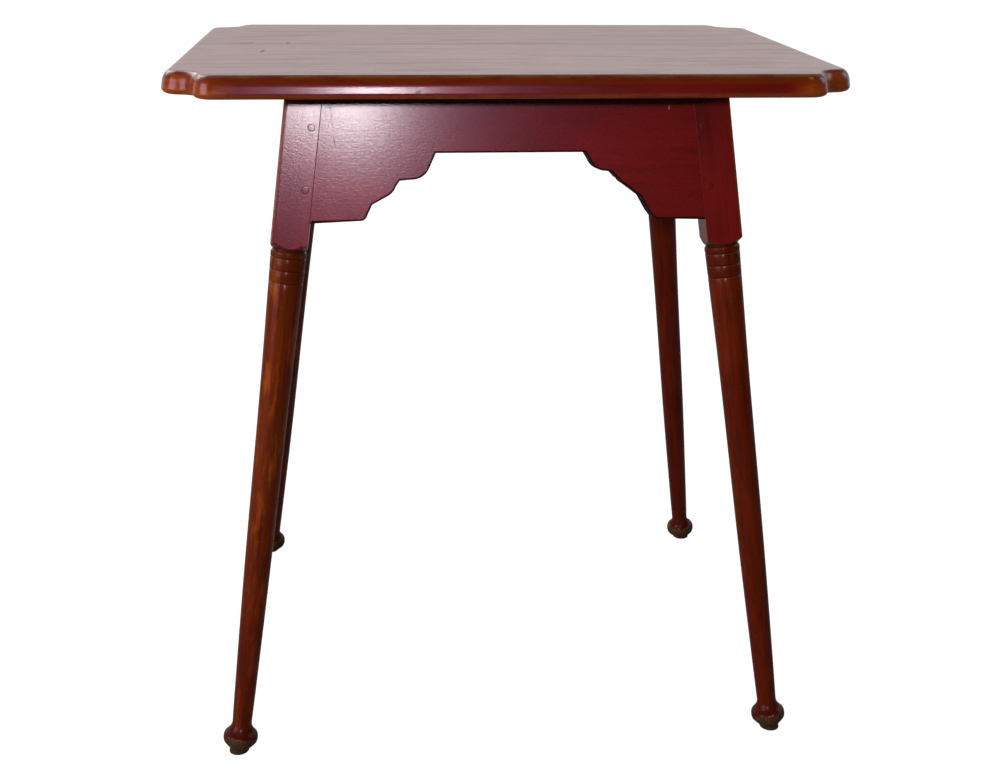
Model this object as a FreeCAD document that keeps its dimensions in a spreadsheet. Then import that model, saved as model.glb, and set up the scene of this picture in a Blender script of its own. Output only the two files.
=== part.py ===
import FreeCAD, Part
import math
import os
import Sketcher

# Small splay-leg tavern table: a two-board top with lobed corners, four turned legs leaning
# outwards both ways, four shaped aprons tenoned and pegged into the legs, and hidden top screws.
# Millimetres, +Z up, +X to the right, front towards -Y, origin on the floor under the centre of the top.

os.makedirs("parts", exist_ok=True)
doc = FreeCAD.newDocument("tavern_table")
sheet = doc.addObject("Spreadsheet::Sheet", "Sizes")

DRIVING = {
    # whole table
    "table_height": 673,
    "splay_long": 7.85,
    "splay_short": 7.75,
    # top
    "top_length": 614.5,
    "top_depth": 438,
    "top_thickness": 20,
    "end_overhang": 104.75,
    "side_overhang": 75,
    "top_upper_round": 9.6,
    "top_lower_round": 5,
    "corner_lobe_radius": 19,
    "corner_hollow_radius": 16,
    "corner_hollow_inset": 14.5,
    "board_seam": 16.5,
    "tongue_length": 480,
    "tongue_width": 20,
    "tongue_thickness": 6,
    # turned legs, levels measured along the leg, shares along the shaft from the ankle up
    "leg_block": 34,
    "block_length": 142.6,
    "shoulder_drop": 8,
    "neck_radius": 15.4,
    "neck_width": 1.2,
    "collar_radius": 16.9,
    "collar_length": 6,
    "ring_radius": 16.7,
    "ring_taper": 0.25,
    "ring_first": 15.8,
    "ring_pitch": 11.6,
    "ring_width": 1.6,
    "ring_cut": 0.7,
    "waist_radius": 14.35,
    "waist_share": 0.757,
    "calf_radius": 12.9,
    "calf_share": 0.385,
    "shin_radius": 10.7,
    "shin_share": 0.099,
    "ankle_radius": 9.7,
    "ankle_height": 31,
    "cove_radius": 10.6,
    "cove_height": 26.2,
    "ball_radius": 17.4,
    "ball_height": 15.6,
    "ball_upper_radius": 13.2,
    "ball_upper_height": 22.2,
    "ball_lower_radius": 10.8,
    "pad_radius": 9.8,
    "pad_height": 4.6,
    # aprons: the stepped edge is drawn on a pattern for half an apron and stretched to fit each one,
    # with widths from the middle and heights from the lowest edge
    "pattern_half": 202,
    "apron_depth": 122.2,
    "apron_thickness": 23,
    "apron_reveal": 0.4,
    "arch_z": 64.2,
    "arch_x": 68.8,
    "inner_round_x": 74.5,
    "inner_round_z": 49.4,
    "inner_flat_x": 90,
    "inner_flat_z": 39.4,
    "middle_riser_x": 102,
    "middle_round_x": 105.5,
    "middle_round_z": 32.8,
    "middle_slope_x": 113.2,
    "middle_slope_z": 24.4,
    "middle_bend": 15,
    "outer_riser_x": 128,
    "outer_riser_z": 17.4,
    "outer_round_x": 132,
    "outer_round_z": 6.9,
    "outer_flat_x": 138.5,
    "outer_flat_z": 2,
    # right half of the front apron, which was sawn a little differently
    "right_arch_x": 70.5,
    "right_inner_round_x": 74.5,
    "right_inner_round_z": 55.8,
    "right_inner_flat_x": 88.5,
    "right_inner_flat_z": 46,
    "right_middle_riser_x": 94.8,
    "right_middle_round_x": 101,
    "right_middle_round_z": 39.4,
    "right_middle_slope_x": 108,
    "right_middle_slope_z": 32.6,
    "right_middle_bend": 15,
    "right_outer_riser_x": 123.2,
    "right_outer_riser_z": 22.6,
    "right_outer_round_x": 132.2,
    "right_outer_round_z": 7,
    "right_outer_flat_x": 139.5,
    "right_outer_flat_z": 1,
    # joints
    "tenon_length": 18,
    "tenon_thickness": 8,
    "tenon_setback": 6.5,
    "tenon_top": 14,
    "tenon_bottom": 112,
    "tenon_root": 4,
    "peg_diameter": 7,
    "peg_length": 20,
    "peg_proud": 0.3,
    "peg_inset": 7.2,
    "peg_upper": 36.9,
    "peg_lower": 93.4,
    "joint_clearance": 0.15,
    # screws that hold the top down
    "screw_angle": 22,
    "screw_seat": 20,
    "screw_place": 112,
    "screw_length": 33,
    "screw_diameter": 4.4,
    "screw_head_diameter": 8.4,
    "screw_head_height": 2.6,
    "screw_point": 6,
    "pocket_diameter": 12,
    "pocket_length": 50,
}

# Worked out from the sizes above
DERIVED = {
    "corner_reach": "corner_hollow_inset + sqrt((corner_lobe_radius + corner_hollow_radius) ^ 2"
                    " - (corner_lobe_radius - corner_hollow_inset) ^ 2)",
    "corner_share": "corner_hollow_radius / (corner_lobe_radius + corner_hollow_radius)",
    "corner_near": "corner_hollow_inset + (corner_lobe_radius - corner_hollow_inset) * corner_share",
    "corner_far": "corner_hollow_inset + (corner_reach - corner_hollow_inset) * corner_share",
    "frame_height": "table_height - top_thickness",
    "frame_length": "top_length - 2 * end_overhang",
    "frame_depth": "top_depth - 2 * side_overhang",
    "slope_long": "tan(splay_long * 1deg)",
    "slope_short": "tan(splay_short * 1deg)",
    "leg_tilt": "atan(sqrt(slope_long ^ 2 + slope_short ^ 2)) / 1deg",
    "leg_run": "frame_height * sqrt(1 + slope_long ^ 2 + slope_short ^ 2)",
    "half_block": "leg_block / 2",
    "foot_x": "frame_length / 2 - half_block / cos(splay_long * 1deg) + slope_long * frame_height",
    "foot_y": "frame_depth / 2 - half_block / cos(splay_short * 1deg) + slope_short * frame_height",
    "stock_radius": "leg_block * 0.78",
    "block_end": "leg_run - block_length",
    "rings_end": "block_end - ring_first - 2 * ring_pitch - ring_width / 2",
    "shin_height": "ankle_height + shin_share * (rings_end - ankle_height)",
    "calf_height": "ankle_height + calf_share * (rings_end - ankle_height)",
    "waist_height": "ankle_height + waist_share * (rings_end - ankle_height)",
    "spare": "top_thickness",
    "long_end": "frame_length / 2 - half_block",
    "short_end": "frame_depth / 2 - half_block",
    "long_lean": "slope_long * cos(splay_short * 1deg)",
    "short_lean": "slope_short * cos(splay_long * 1deg)",
    "long_share": "(long_end + long_lean * apron_depth) / pattern_half",
    "short_share": "(short_end + short_lean * apron_depth) / pattern_half",
    "screw_top_depth": "apron_thickness * 0.4",
}

FRONT, BACK, LEFT, RIGHT = -1, 1, -1, 1
SIDE_NAMES = {"x": {LEFT: "left", RIGHT: "right"}, "y": {FRONT: "front", BACK: "back"}}
LEGS = [(side_x, side_y) for side_y in (FRONT, BACK) for side_x in (LEFT, RIGHT)]


def fill_sheet():
    for row, (alias, value) in enumerate(DRIVING.items(), start=1):
        sheet.set("A%d" % row, alias)
        sheet.set("B%d" % row, str(value))
        sheet.setAlias("B%d" % row, alias)
    doc.recompute()
    for row, (alias, formula) in enumerate(DERIVED.items(), start=len(DRIVING) + 1):
        sheet.set("A%d" % row, alias)
        sheet.set("B%d" % row, "=" + formula)
        sheet.setAlias("B%d" % row, alias)
        doc.recompute()


def size(alias):
    return "Sizes." + alias


def number(expression):
    return float(sheet.evalExpression(expression))


def vector_text(x, y, z):
    return "create(<<vector>>; %s; %s; %s)" % (x, y, z)


def place_text(position, axis=(0, 0, 1), angle="0"):
    turn = "create(<<rotation>>; %s; %s)" % (vector_text(*axis), angle)
    return "create(<<placement>>; %s; %s)" % (vector_text(*position), turn)


def bind(item, **expressions):
    for name, expression in expressions.items():
        item.setExpression(name, str(expression))


def new_body(name):
    return doc.addObject("PartDesign::Body", name)


def origin_plane(body, role):
    return next(feature for feature in body.Origin.OriginFeatures if feature.Role == role)


def arc_centre(start, end, curve):
    """Centre of an arc between two points, given one of its coordinates or its radius."""
    if "cx" in curve:
        cx = number(curve["cx"])
        square = end.x ** 2 + end.y ** 2 - start.x ** 2 - start.y ** 2
        return FreeCAD.Vector(cx, (square - 2 * cx * (end.x - start.x)) / (2 * (end.y - start.y)), 0)
    if "cy" in curve:
        cy = number(curve["cy"])
        square = end.x ** 2 + end.y ** 2 - start.x ** 2 - start.y ** 2
        return FreeCAD.Vector((square - 2 * cy * (end.y - start.y)) / (2 * (end.x - start.x)), cy, 0)
    chord = end - start
    left = FreeCAD.Vector(-chord.y, chord.x, 0).normalize()
    rise = math.sqrt(number(curve["radius"]) ** 2 - (chord.Length / 2) ** 2)
    return (start + end) * 0.5 + left * (rise if curve["left"] else -rise)


def outline(body, plane_role, name, points):
    """Closed sketch through bound points; a point's third entry bends the line that leaves it."""
    sketch = body.newObject("Sketcher::SketchObject", name)
    sketch.AttachmentSupport = [(origin_plane(body, plane_role), "")]
    sketch.MapMode = "FlatFace"
    places = [FreeCAD.Vector(number(x), number(y), 0) for x, y, curve in points]
    ends = []
    for index, (x, y, curve) in enumerate(points):
        start, end = places[index], places[(index + 1) % len(points)]
        if curve is None:
            sketch.addGeometry(Part.LineSegment(start, end), False)
            ends.append((1, 2))
            continue
        centre = arc_centre(start, end, curve)
        angles = [math.atan2(p.y - centre.y, p.x - centre.x) for p in (start, end)]
        leftward = (end - start).cross(centre - start).z > 0
        first, last = angles if leftward else angles[::-1]
        circle = Part.Circle(centre, FreeCAD.Vector(0, 0, 1), (start - centre).Length)
        sketch.addGeometry(Part.ArcOfCircle(circle, first, last), False)
        ends.append((1, 2) if leftward else (2, 1))
    for index, (x, y, curve) in enumerate(points):
        after = (index + 1) % len(points)
        sketch.addConstraint(Sketcher.Constraint("Coincident", index, ends[index][1], after, ends[after][0]))
        bound = [("DistanceX", ends[index][0], x), ("DistanceY", ends[index][0], y)]
        if curve and "cx" in curve:
            bound.append(("DistanceX", 3, curve["cx"]))
        if curve and "cy" in curve:
            bound.append(("DistanceY", 3, curve["cy"]))
        for kind, spot, expression in bound:
            row = sketch.addConstraint(Sketcher.Constraint(kind, index, spot, number(expression)))
            sketch.setExpression("Constraints[%d]" % row, expression)
        if curve and "radius" in curve:
            row = sketch.addConstraint(Sketcher.Constraint("Radius", index, number(curve["radius"])))
            sketch.setExpression("Constraints[%d]" % row, curve["radius"])
    return sketch


def pad(body, sketch, length, reverse=False):
    feature = body.newObject("PartDesign::Pad", sketch.Name + "_pad")
    feature.Profile = sketch
    feature.Reversed = reverse
    bind(feature, Length=length)
    return feature


def mirrored(body, feature, plane_role):
    """The body so far together with its mirror image."""
    doc.recompute()
    copy = body.newObject("PartDesign::Mirrored", feature.Name + "_mirror")
    copy.TransformMode = "Whole shape"
    copy.MirrorPlane = (origin_plane(body, plane_role), [""])
    copy.Refine = True
    body.Tip = copy
    return copy


def revolved(body, sketch):
    feature = body.newObject("PartDesign::Revolution", sketch.Name + "_turning")
    feature.Profile = sketch
    feature.ReferenceAxis = (sketch, ["V_Axis"])
    feature.Angle = 360
    return feature


def box(name, length, width, height, place):
    item = doc.addObject("Part::Box", name)
    bind(item, Length=length, Width=width, Height=height, Placement=place)
    return item


def cylinder(name, radius, height, place):
    item = doc.addObject("Part::Cylinder", name)
    bind(item, Radius=radius, Height=height, Placement=place)
    return item


def compound(name, links):
    item = doc.addObject("Part::Compound", name)
    item.Links = links
    return item


def fused(name, shapes):
    item = doc.addObject("Part::MultiFuse", name)
    item.Shapes = shapes
    return item


def common(name, base, tool):
    item = doc.addObject("Part::Common", name)
    item.Base = base
    item.Tool = tool
    return item


def cut(name, base, tools):
    item = doc.addObject("Part::Cut", name)
    item.Base = base
    item.Tool = compound(name + "_tools", tools)
    return item


def leg_name(side_x, side_y):
    return "leg_%s_%s" % (SIDE_NAMES["y"][side_y], SIDE_NAMES["x"][side_x])


def apron_name(runs, side):
    return "apron_" + SIDE_NAMES["y" if runs == "x" else "x"][side]


def turned_leg(side_x, side_y):
    """Square stick turned below its block: neck, collar, three ring lines, shaft, ball foot and pad."""
    name = leg_name(side_x, side_y)
    body = new_body(name + "_stick")
    end, top = size("block_end"), "Sizes.leg_run + Sizes.spare"
    points = [("0", "-Sizes.spare", None), (size("pad_radius"), "-Sizes.spare", None),
              (size("pad_radius"), size("pad_height"), None),
              (size("ball_lower_radius"), size("pad_height"), {"cy": size("ball_height")}),
              (size("ball_radius"), size("ball_height"), {"cy": size("ball_height")}),
              (size("ball_upper_radius"), size("ball_upper_height"), None)]
    points += [(size(place + "_radius"), size(place + "_height"), None)
               for place in ("cove", "ankle", "shin", "calf", "waist")]
    for ring in (2, 1, 0):
        radius = "Sizes.ring_radius - %d * Sizes.ring_taper" % ring
        level = "Sizes.block_end - Sizes.ring_first - %d * Sizes.ring_pitch" % ring
        points += [(radius, level + " - Sizes.ring_width / 2", None),
                   (radius + " - Sizes.ring_cut", level, None),
                   (radius, level + " + Sizes.ring_width / 2", None)]
    neck = "Sizes.block_end - Sizes.shoulder_drop - Sizes.neck_width"
    points += [(size("collar_radius"), neck + " - Sizes.collar_length / 2", {"cy": neck + " - Sizes.collar_length / 2"}),
               (size("neck_radius"), neck, None),
               (size("neck_radius"), "Sizes.block_end - Sizes.shoulder_drop", None),
               (size("stock_radius"), end, None), (size("stock_radius"), top, None), ("0", top, None)]
    turning = revolved(body, outline(body, "XZ_Plane", name + "_profile", points))
    corners = [("-", "-"), ("", "-"), ("", ""), ("-", "")]
    square = body.newObject("Sketcher::SketchObject", name + "_square")
    square.AttachmentSupport = [(origin_plane(body, "XY_Plane"), "")]
    square.MapMode = "FlatFace"
    bind(square, **{"AttachmentOffset.Base.z": top})
    for half in (size("half_block"), size("leg_block")):
        first = square.GeometryCount
        spots = [FreeCAD.Vector(number(sx + half), number(sy + half), 0) for sx, sy in corners]
        for index, (sx, sy) in enumerate(corners):
            square.addGeometry(Part.LineSegment(spots[index], spots[(index + 1) % 4]), False)
        for index, (sx, sy) in enumerate(corners):
            square.addConstraint(Sketcher.Constraint("Coincident", first + index, 2, first + (index + 1) % 4, 1))
            for kind, expression in (("DistanceX", sx + half), ("DistanceY", sy + half)):
                row = square.addConstraint(Sketcher.Constraint(kind, first + index, 1, number(expression)))
                square.setExpression("Constraints[%d]" % row, expression)
    doc.recompute()
    faces = body.newObject("PartDesign::Pocket", name + "_faces")
    faces.Profile = square
    bind(faces, Length="Sizes.spare + Sizes.block_length + Sizes.shoulder_drop")
    tilt_axis = ("%d * Sizes.slope_short" % side_y, "%d * Sizes.slope_long" % -side_x, 0)
    position = ("%d * Sizes.foot_x" % side_x, "%d * Sizes.foot_y" % side_y, 0)
    bind(body, Placement=place_text(position, tilt_axis, size("leg_tilt")))
    return body


def on_leg(side_x, side_y, position, axis=(0, 0, 1), angle="0"):
    return "%s_stick.Placement * %s" % (leg_name(side_x, side_y), place_text(position, axis, angle))


def joint_box(name, runs, side_x, side_y, grow, root):
    """Tenon block in a leg, for an apron running along x or y; grow is the mortise's clearance."""
    across, out = (side_x, side_y) if runs == "x" else (side_y, side_x)
    length = "(Sizes.tenon_length + %s + %s)" % (grow, root)
    thick = "(Sizes.tenon_thickness + 2 * %s)" % grow
    low_along = "Sizes.half_block - Sizes.tenon_length - %s" % grow
    near = low_along if across < 0 else "-Sizes.half_block - %s" % root
    inset = "Sizes.half_block - Sizes.tenon_setback"
    side = "-(%s) - %s" % (inset, grow) if out < 0 else "%s - Sizes.tenon_thickness - %s" % (inset, grow)
    level = "Sizes.leg_run - Sizes.tenon_bottom - %s" % grow
    height = "Sizes.tenon_bottom - Sizes.tenon_top + 2 * %s" % grow
    if runs == "x":
        return box(name, length, thick, height, on_leg(side_x, side_y, (near, side, level)))
    return box(name, thick, length, height, on_leg(side_x, side_y, (side, near, level)))


def joint_pegs(name, runs, side_x, side_y, radius, length):
    """Two pegs driven through one tenon from the outer face of the leg."""
    across, out = (side_x, side_y) if runs == "x" else (side_y, side_x)
    along = "%d * (Sizes.half_block - Sizes.peg_inset)" % -across
    face = "%d * (Sizes.half_block + Sizes.peg_proud)" % out
    pegs = []
    for label in ("upper", "lower"):
        level = "Sizes.leg_run - Sizes.peg_" + label
        if runs == "x":
            place = on_leg(side_x, side_y, (along, face, level), (1, 0, 0), 90 * out)
        else:
            place = on_leg(side_x, side_y, (face, along, level), (0, 1, 0), -90 * out)
        pegs.append(cylinder("%s_%s" % (name, label), radius, length, place))
    return pegs


def apron_edge(half, share):
    """Lower edge of half an apron, from the middle of its arch out to its end; half is a name's start."""

    def spot(name, curve=None, level=None):
        x = "Sizes.%s%s_x * %s" % (half, name, share)
        return (x, level or "Sizes.%s%s_z" % (half, name), curve)

    def level_arc(name):
        return {"cx": spot(name, level="0")[0]}

    flat = "Sizes.%sinner_flat_z" % half
    return [("0", size("arch_z"), None), spot("arch", level=size("arch_z")),
            spot("inner_round", level_arc("inner_flat")), spot("inner_flat"),
            spot("middle_riser", level=flat),
            spot("middle_round", {"radius": "Sizes.%smiddle_bend" % half, "left": True}),
            spot("middle_slope"), spot("outer_riser"),
            spot("outer_round", level_arc("outer_flat")), spot("outer_flat")]


def reflected(edge):
    """The same edge on the left side, run the other way."""
    curves = [dict(curve, cx="-(%s)" % curve["cx"]) if curve and "cx" in curve else curve
              for x, y, curve in reversed(edge[:-1])]
    return [("-(%s)" % x, y, curve) for (x, y, after), curve in zip(reversed(edge), curves + [None])]


def apron_board(runs, side):
    """Stepped board leaning with the legs, its ends still overlong."""
    name = apron_name(runs, side)
    body = new_body(name + "_board")
    long = runs == "x"
    share = size("long_share" if long else "short_share")
    end, lean = ("long_end", "long_lean") if long else ("short_end", "short_lean")
    angle = "Sizes.splay_short" if long else "Sizes.splay_long"
    half = "right_" if (runs, side) == ("x", FRONT) else ""
    above = "Sizes.apron_depth + Sizes.spare / 2"
    low_end = "(Sizes.%s + Sizes.%s * Sizes.apron_depth)" % (end, lean)
    high_end = "(Sizes.%s - Sizes.%s * Sizes.spare / 2)" % (end, lean)
    points = [("-" + high_end, above, None), ("-" + low_end, "0", None)]
    points += reflected(apron_edge("", share))[:-1]
    points += apron_edge(half, share)[1:]
    points += [(low_end, "0", None), (high_end, above, None)]
    sketch = outline(body, "XZ_Plane", name + "_outline", points)
    pad(body, sketch, size("apron_thickness"), reverse=True)
    turn = {("x", FRONT): 0, ("x", BACK): 180, ("y", LEFT): -90, ("y", RIGHT): 90}[(runs, side)]
    width = "frame_depth" if long else "frame_length"
    drop = "Sizes.apron_depth * sin(%s * 1deg)" % angle
    out = "%d * (Sizes.%s / 2 - Sizes.apron_reveal + %s)" % (side, width, drop)
    level = "Sizes.frame_height - Sizes.apron_depth * cos(%s * 1deg)" % angle
    position = ("0", out, level) if long else (out, "0", level)
    upright = place_text(position, (0, 0, 1), turn)
    bind(body, Placement=upright + " * " + place_text((0, 0, 0), (1, 0, 0), "-" + angle))
    return body


def screw_place(runs, side, hand):
    """Place of one screw: its seat in the inner face of an apron, pointing up into the top."""
    share = size("long_share" if runs == "x" else "short_share")
    depth = "Sizes.screw_top_depth + Sizes.screw_seat * tan(Sizes.screw_angle * 1deg)"
    level = "Sizes.apron_depth - Sizes.screw_seat"
    spot = ("%d * Sizes.screw_place * %s" % (hand, share), depth, level)
    return "%s_board.Placement * %s" % (apron_name(runs, side), place_text(spot, (1, 0, 0), size("screw_angle")))


def screw(name, place):
    """Round-head wood screw, its head's underside at the seat."""
    body = new_body(name)
    shank = "Sizes.screw_diameter / 2"
    head = "Sizes.screw_head_diameter / 2"
    points = [("0", "-Sizes.screw_head_height", None), (head, "-Sizes.screw_head_height", None),
              (head, "0", None), (shank, "0", None),
              (shank, "Sizes.screw_length - Sizes.screw_point", None), ("0", size("screw_length"), None)]
    revolved(body, outline(body, "XZ_Plane", name + "_profile", points))
    bind(body, Placement=place)
    return body


def screw_hole(name, place):
    """Clearance hole for a screw's shank."""
    return cylinder(name, "Sizes.screw_diameter / 2 + Sizes.joint_clearance",
                    "Sizes.screw_length + Sizes.joint_clearance", place)


def screw_pocket(name, place):
    """Slanting pocket in an apron's inner face, below a screw's seat."""
    return cylinder(name, "Sizes.pocket_diameter / 2", size("pocket_length"),
                    place + " * " + place_text((0, 0, "-Sizes.pocket_length")))


def top_blank():
    """Whole top, each corner a hollow between two lobes, before it is parted into two boards."""
    body = new_body("top_blank")
    side, back = "Sizes.top_length / 2", "Sizes.top_depth / 2"
    reach, near, far = (" - Sizes.corner_" + name for name in ("reach", "near", "far"))
    points = [("0", "0", None), (side, "0", None), (side, back + reach, {"cy": back + reach}),
              (side + near, back + far, {"radius": size("corner_hollow_radius"), "left": False}),
              (side + far, back + near, {"cx": side + reach}), (side + reach, back, None), ("0", back, None)]
    sketch = outline(body, "XY_Plane", "top_outline", points)
    quarter = pad(body, sketch, size("top_thickness"))
    half = mirrored(body, quarter, "YZ_Plane")
    return body, mirrored(body, half, "XZ_Plane")


def round_face(body, feature, name, high, radius):
    """Round the edges of the highest or lowest face of a feature."""
    doc.recompute()
    faces = feature.Shape.Faces
    levels = [face.CenterOfMass.z for face in faces]
    index = levels.index(max(levels) if high else min(levels))
    fillet = body.newObject("PartDesign::Fillet", name)
    fillet.Base = (feature, ["Face%d" % (index + 1)])
    bind(fillet, Radius=radius)
    body.Tip = fillet
    return fillet


fill_sheet()

# Room under the top, which the legs and aprons are trimmed to
frame_room = box("frame_room", "2 * Sizes.top_length", "2 * Sizes.top_length", size("frame_height"),
                 place_text(("-Sizes.top_length", "-Sizes.top_length", 0)))

# Legs
sticks = {}
for side_x, side_y in LEGS:
    sticks[(side_x, side_y)] = turned_leg(side_x, side_y)
doc.recompute()

# Joints: a tenon on each apron's end, its mortise in the leg, and two pegs through both
JOINTS = [(runs, side_x, side_y) for runs in ("x", "y") for side_x, side_y in LEGS]
tenons, mortises, pegs, peg_holes = {}, {}, {}, {}
for joint in JOINTS:
    runs, side_x, side_y = joint
    tag = "%s_%s" % (leg_name(side_x, side_y), runs)
    tenons[joint] = joint_box(tag + "_tenon", runs, side_x, side_y, "0", size("tenon_root"))
    mortises[joint] = joint_box(tag + "_mortise", runs, side_x, side_y, size("joint_clearance"), "1")
    pegs[joint] = joint_pegs(tag + "_peg", runs, side_x, side_y, "Sizes.peg_diameter / 2", size("peg_length"))
    peg_holes[joint] = joint_pegs(tag + "_hole", runs, side_x, side_y,
                                  "Sizes.peg_diameter / 2 + Sizes.joint_clearance",
                                  "Sizes.peg_length + Sizes.joint_clearance")

nodes = []
for (side_x, side_y), stick in sticks.items():
    name = leg_name(side_x, side_y)
    trimmed = common(name + "_trimmed", stick, frame_room)
    own = [("x", side_x, side_y), ("y", side_x, side_y)]
    morticed = cut(name + "_morticed", trimmed, [mortises[joint] for joint in own])
    nodes.append(cut(name, morticed, [hole for joint in own for hole in peg_holes[joint]]))

# Aprons, screws and pegs
screws, holes = [], []
for runs, side in (("x", FRONT), ("x", BACK), ("y", LEFT), ("y", RIGHT)):
    name = apron_name(runs, side)
    own = [joint for joint in JOINTS if joint[0] == runs and joint[2 if runs == "x" else 1] == side]
    board = apron_board(runs, side)
    shouldered = cut(name + "_shouldered", board, [sticks[joint[1:]] for joint in own])
    trimmed = common(name + "_trimmed", shouldered, frame_room)
    tenoned = fused(name + "_tenoned", [trimmed] + [tenons[joint] for joint in own])
    pegged = cut(name + "_pegged", tenoned, [hole for joint in own for hole in peg_holes[joint]])
    pockets = []
    for hand in (-1, 1):
        tag = "%s_screw_%s" % (name, SIDE_NAMES["x"][hand])
        place = screw_place(runs, side, hand)
        screws.append(screw(tag, place))
        holes.append(screw_hole(tag + "_hole", place))
        pockets.append(screw_pocket(tag + "_pocket", place))
    drilled = cut(name + "_drilled", pegged, holes[-2:])
    nodes.append(cut(name, drilled, pockets))
    peg_group = compound("pegs_" + name.split("_")[1], [peg for joint in own for peg in pegs[joint]])
    nodes.append(peg_group)
nodes.append(compound("top_screws", screws))

# Top: two boards, meeting at a seam with a loose tongue hidden in it
blank, whole = top_blank()
upper = round_face(blank, whole, "top_upper_rounding", True, size("top_upper_round"))
round_face(blank, upper, "top_lower_rounding", False, size("top_lower_round"))
bind(blank, Placement=place_text((0, 0, size("frame_height"))))
tongue_level = "Sizes.frame_height + (Sizes.top_thickness - Sizes.tongue_thickness) / 2"
groove = box("tongue_groove", "Sizes.tongue_length + 2 * Sizes.joint_clearance",
             "Sizes.tongue_width + 2 * Sizes.joint_clearance",
             "Sizes.tongue_thickness + 2 * Sizes.joint_clearance",
             place_text(("-Sizes.tongue_length / 2 - Sizes.joint_clearance",
                         "Sizes.board_seam - Sizes.tongue_width / 2 - Sizes.joint_clearance",
                         tongue_level + " - Sizes.joint_clearance")))
tongue = box("top_tongue", size("tongue_length"), size("tongue_width"), size("tongue_thickness"),
             place_text(("-Sizes.tongue_length / 2", "Sizes.board_seam - Sizes.tongue_width / 2", tongue_level)))
nodes.append(tongue)
for side, edge in ((FRONT, "Sizes.board_seam - 2 * Sizes.top_depth"), (BACK, size("board_seam"))):
    name = "top_board_" + SIDE_NAMES["y"][side]
    room = box(name + "_room", "2 * Sizes.top_length", "2 * Sizes.top_depth", "2 * Sizes.top_thickness",
               place_text(("-Sizes.top_length", edge, "Sizes.frame_height - Sizes.top_thickness / 2")))
    parted = common(name + "_parted", blank, room)
    nodes.append(cut(name, parted, [groove] + holes))

doc.recompute()
for item in doc.Objects:
    if "Invalid" in item.State or "Error" in item.State:
        raise RuntimeError("%s failed to build: %s" % (item.Name, item.State))
for node in nodes:
    if node.Shape.isNull() or not node.Shape.isValid():
        raise RuntimeError("%s has no valid shape" % node.Name)
    node.Shape.exportStep("parts/%s.step" % node.Label)
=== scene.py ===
import math

import bmesh
import bpy
from mathutils import Matrix, Vector


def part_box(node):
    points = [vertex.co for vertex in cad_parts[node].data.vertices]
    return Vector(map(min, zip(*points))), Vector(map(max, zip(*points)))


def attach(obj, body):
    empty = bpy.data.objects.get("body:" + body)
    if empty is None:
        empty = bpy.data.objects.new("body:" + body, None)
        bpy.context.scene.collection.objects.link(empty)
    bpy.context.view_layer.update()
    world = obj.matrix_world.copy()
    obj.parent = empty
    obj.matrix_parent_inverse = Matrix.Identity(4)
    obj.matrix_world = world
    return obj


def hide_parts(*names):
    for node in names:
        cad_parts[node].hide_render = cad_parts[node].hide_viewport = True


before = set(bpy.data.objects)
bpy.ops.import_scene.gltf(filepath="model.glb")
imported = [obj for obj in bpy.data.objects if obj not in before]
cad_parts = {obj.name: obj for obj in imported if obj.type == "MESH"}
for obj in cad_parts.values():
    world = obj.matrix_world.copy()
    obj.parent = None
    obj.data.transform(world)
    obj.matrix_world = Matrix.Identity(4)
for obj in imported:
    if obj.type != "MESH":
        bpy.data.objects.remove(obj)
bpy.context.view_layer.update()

# Red-stained tavern table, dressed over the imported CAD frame.
# Metres, in that frame: +Z up, +X to the right, front towards -Y, origin on the floor.

LEFT, RIGHT = -1, 1
FRONT, BACK = -1, 1
UP = Vector((0, 0, 1))

# Top
TOP_LOW, TOP_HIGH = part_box("top_board_back")
TOP_X = TOP_HIGH.x
TOP_Y = TOP_HIGH.y
TOP_Z = TOP_HIGH.z
UNDER_Z = TOP_LOW.z
SEAM_Y = TOP_LOW.y
UPPER_ROUND = 0.0096
ROUND_REACH = 0.00904
ROUND_DROP = 0.0137
EDGE_LEAN = math.radians(10.5)
UPRIGHT_CUTS = (0.12, 0.95)
LOWER_ROUND = 0.005
FLAT_STRIP = 0.002
LARGE_AREA = 0.01
LOBE = 0.019
HOLLOW = 0.016
HOLLOW_INSET = 0.0145

# Frame under the top
END_OVERHANG = 0.10475
SIDE_OVERHANG = 0.075
FRAME_X = TOP_X - END_OVERHANG
FRAME_Y = TOP_Y - SIDE_OVERHANG
SPLAY_LONG = math.radians(7.85)
SPLAY_SHORT = math.radians(7.75)
SLOPE_LONG = math.tan(SPLAY_LONG)
SLOPE_SHORT = math.tan(SPLAY_SHORT)

# Turned legs, heights along the leg from the floor
BLOCK = 0.034
HALF_BLOCK = BLOCK / 2
BLOCK_LENGTH = 0.1426
BLOCK_CUTS = (0.04, 0.09)
OUTER_EASE = 0.0016
INNER_EASE = 0.00015
STOCK_RADIUS = 0.78 * BLOCK
LEG_RUN = UNDER_Z * math.sqrt(1 + SLOPE_LONG ** 2 + SLOPE_SHORT ** 2)
BLOCK_END = LEG_RUN - BLOCK_LENGTH
SHOULDER = 0.008
SHOULDER_CREASE = 0.0006
NECK = BLOCK_END - SHOULDER
NECK_RADIUS = 0.0154
NECK_WIDTH = 0.0012
COLLAR_RADIUS = 0.0169
COLLAR_LENGTH = 0.006
RING_COUNT = 3
RING_RADIUS = 0.0167
RING_TAPER = 0.00025
RING_WIDTH = 0.0013
RING_CUT = 0.0005
RING_FIRST = 0.0158
RING_PITCH = 0.0116
RING_LEVELS = [BLOCK_END - RING_FIRST - RING_PITCH * ring for ring in range(RING_COUNT)]
RINGS_END = RING_LEVELS[-1] - RING_WIDTH / 2
# section of a ring line, in shares of its width and cut
RING_SECTION = ((-0.5, 0), (-0.3, 0.25), (-0.1, 0.95), (0.1, 0.95), (0.3, 0.25), (0.5, 0))
ANKLE_RADIUS = 0.0097
ANKLE_HEIGHT = 0.031
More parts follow.
